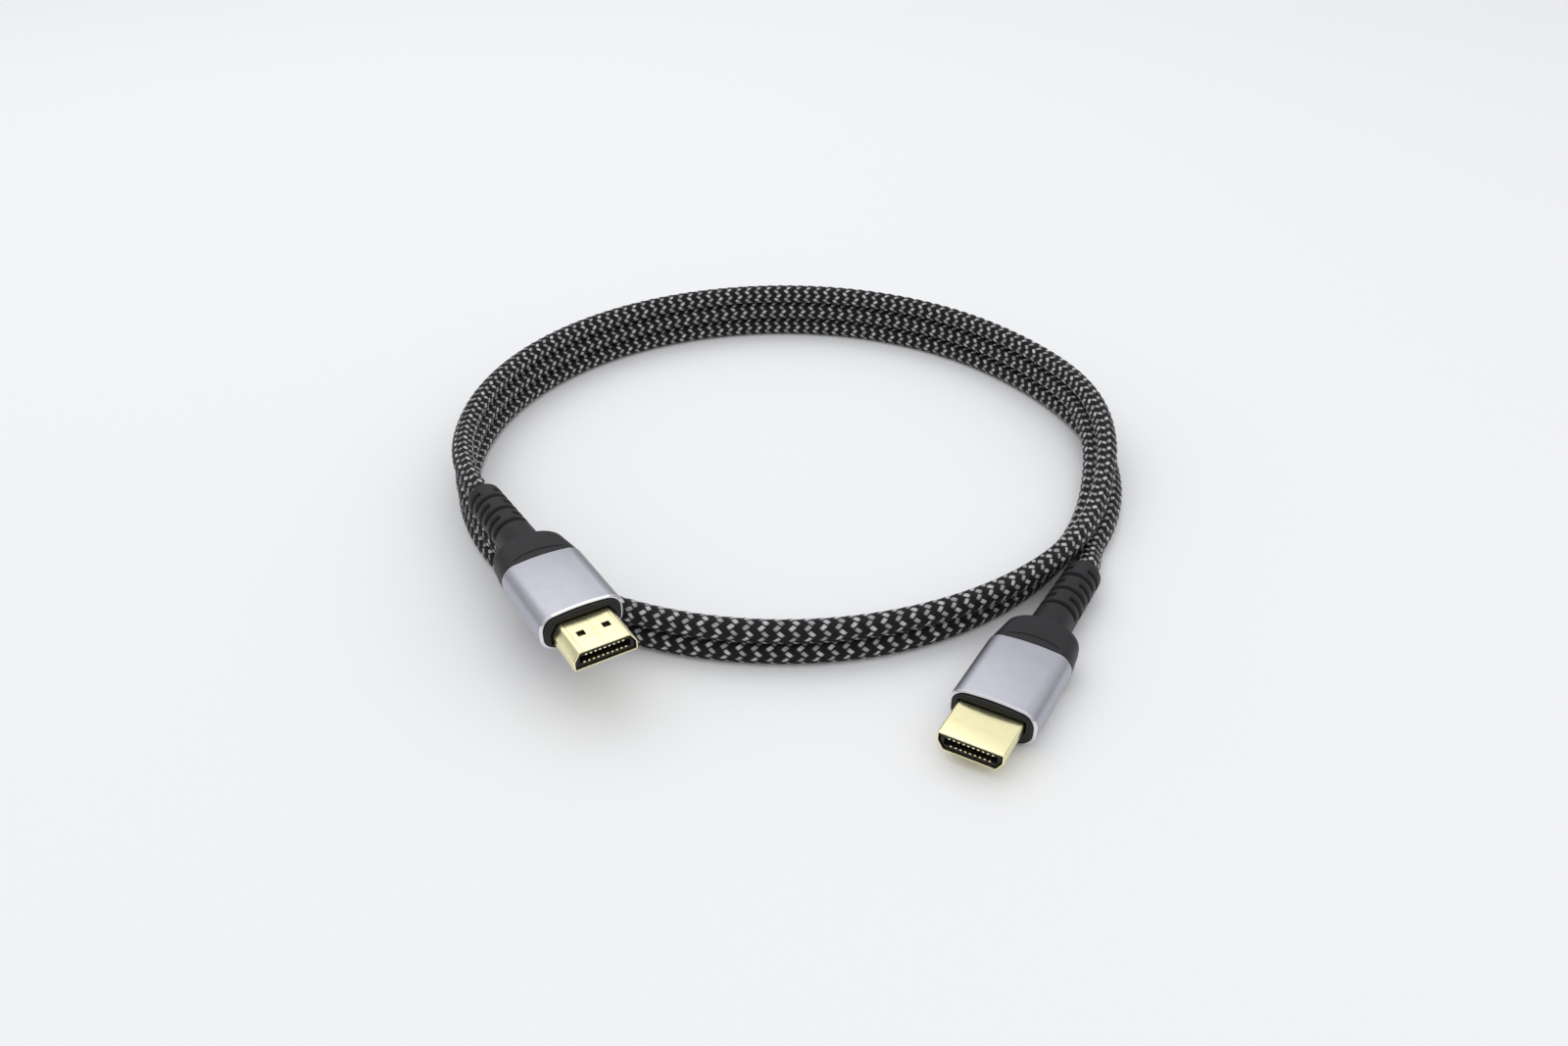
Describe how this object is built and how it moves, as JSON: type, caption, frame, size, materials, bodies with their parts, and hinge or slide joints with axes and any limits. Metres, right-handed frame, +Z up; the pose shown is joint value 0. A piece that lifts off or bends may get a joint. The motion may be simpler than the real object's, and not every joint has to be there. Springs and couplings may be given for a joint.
{
  "type": "hdmi cable",
  "caption": "Braided audio and video cable in a level coil, with a flat gold-plated plug, a grey metal sleeve and a ribbed strain relief at each end.",
  "frame": {"origin": "on the floor under the middle of the whole coiled cable's box", "axes": "+Z up from the floor, +Y towards the back of the coil, away from both plugs, +X towards the side of the plug that lies on the floor"},
  "size_m": [0.174, 0.2048, 0.0206],
  "materials": {
    "braid": "matte",
    "gold_plate": "polished",
    "anodised_aluminium": "satin",
    "black_moulding": "matte",
    "black_insulator": "matte"
  },
  "bodies": {
    "root": {"braided_cable": "braid", "left_plug_shell": "gold_plate", "left_contact_block": "black_insulator", "left_contact_01": "gold_plate", "left_contact_02": "gold_plate", "left_contact_03": "gold_plate", "left_contact_04": "gold_plate", "left_contact_05": "gold_plate", "left_contact_06": "gold_plate", "left_contact_07": "gold_plate", "left_contact_08": "gold_plate", "left_contact_09": "gold_plate", "left_contact_10": "gold_plate", "left_contact_11": "gold_plate", "left_contact_12": "gold_plate", "left_contact_13": "gold_plate", "left_contact_14": "gold_plate", "left_contact_15": "gold_plate", "left_contact_16": "gold_plate", "left_contact_17": "gold_plate", "left_contact_18": "gold_plate", "left_contact_19": "gold_plate", "left_inner_moulding": "black_moulding", "left_aluminium_sleeve": "anodised_aluminium", "left_strain_relief": "black_moulding", "right_plug_shell": "gold_plate", "right_contact_block": "black_insulator", "right_contact_01": "gold_plate", "right_contact_02": "gold_plate", "right_contact_03": "gold_plate", "right_contact_04": "gold_plate", "right_contact_05": "gold_plate", "right_contact_06": "gold_plate", "right_contact_07": "gold_plate", "right_contact_08": "gold_plate", "right_contact_09": "gold_plate", "right_contact_10": "gold_plate", "right_contact_11": "gold_plate", "right_contact_12": "gold_plate", "right_contact_13": "gold_plate", "right_contact_14": "gold_plate", "right_contact_15": "gold_plate", "right_contact_16": "gold_plate", "right_contact_17": "gold_plate", "right_contact_18": "gold_plate", "right_contact_19": "gold_plate", "right_inner_moulding": "black_moulding", "right_aluminium_sleeve": "anodised_aluminium", "right_strain_relief": "black_moulding"}
  },
  "joints": []
}
